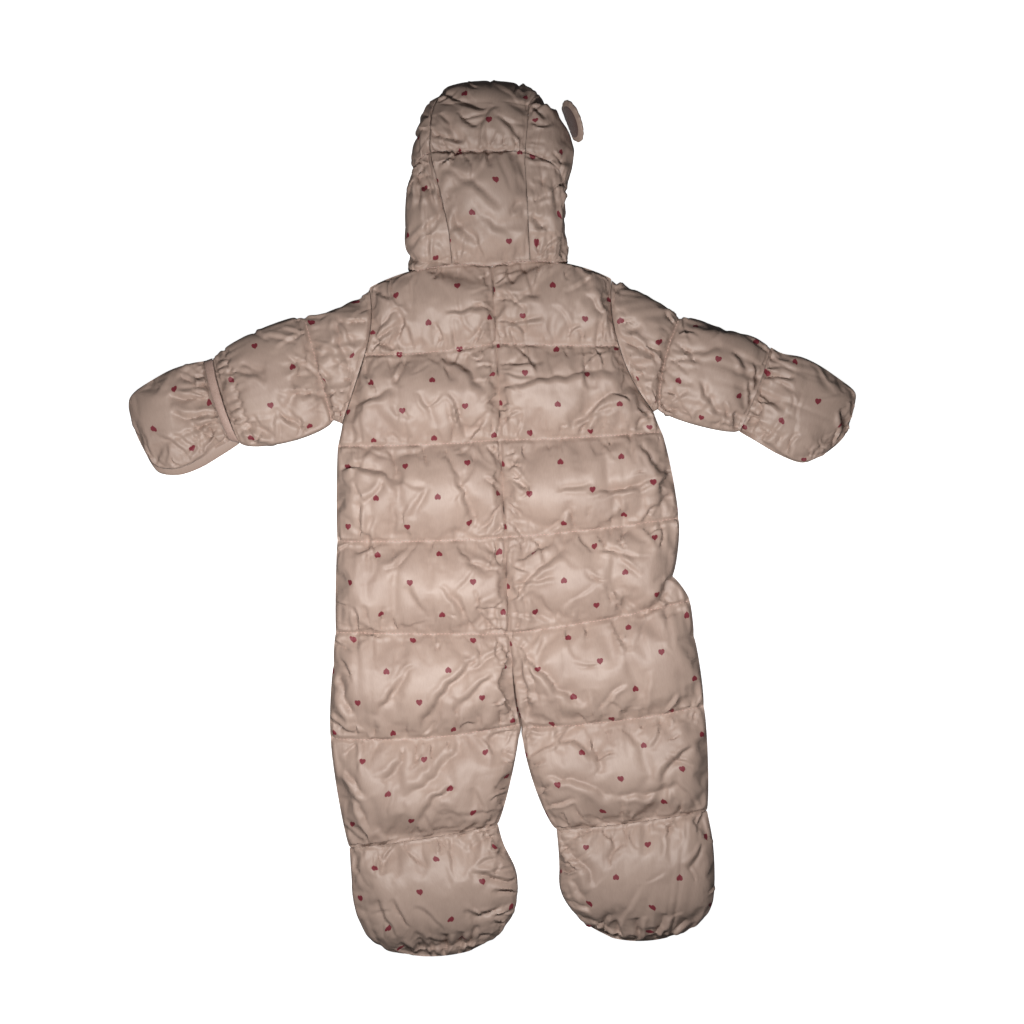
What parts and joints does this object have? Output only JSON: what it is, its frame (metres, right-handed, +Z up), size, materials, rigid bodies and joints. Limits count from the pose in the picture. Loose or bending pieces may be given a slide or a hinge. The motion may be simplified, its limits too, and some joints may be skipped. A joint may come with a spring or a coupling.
{
  "type": "baby snowsuit",
  "caption": "Quilted hooded baby pram suit in taupe satin with a small heart print, with mittens and booties, laid flat with its back side up.",
  "frame": {"origin": "on the floor under the middle of the suit's bounding box", "axes": "+Y to the hood, -Y to the feet, +X to the viewer's right when the back is seen from above, +Z up"},
  "size_m": [0.6916, 0.8274, 0.0612],
  "materials": {
    "quilted_cloth": "satin",
    "binding": "matte",
    "ear_cloth": "satin",
    "zip_tape": "matte",
    "zip_metal": "polished"
  },
  "bodies": {
    "suit": {"back_left": "quilted_cloth", "back_right": "quilted_cloth", "front_left": "quilted_cloth", "front_right": "quilted_cloth", "sleeve_left": "quilted_cloth", "sleeve_right": "quilted_cloth", "mitten_flap_left": "quilted_cloth", "mitten_flap_right": "quilted_cloth", "mitten_palm_left": "quilted_cloth", "mitten_palm_right": "quilted_cloth", "bootie_top_left": "quilted_cloth", "bootie_top_right": "quilted_cloth", "bootie_sole_left": "quilted_cloth", "bootie_sole_right": "quilted_cloth", "hood_centre": "quilted_cloth", "hood_left": "quilted_cloth", "hood_right": "quilted_cloth", "wrist_band_left": "binding", "ear_left": "ear_cloth", "ear_right": "ear_cloth", "zip_tape": "zip_tape", "zip_slider": "zip_metal"},
    "pull": {"zip_pull": "zip_metal"}
  },
  "joints": [
    {"name": "zip_pull_hinge", "type": "hinge", "parent": "suit", "child": "pull", "pos_m": [0.00245, 0.20401, 0.0081], "axis": [0.999, 0.0452, 0], "range_deg": [-15.5, 149]}
  ]
}
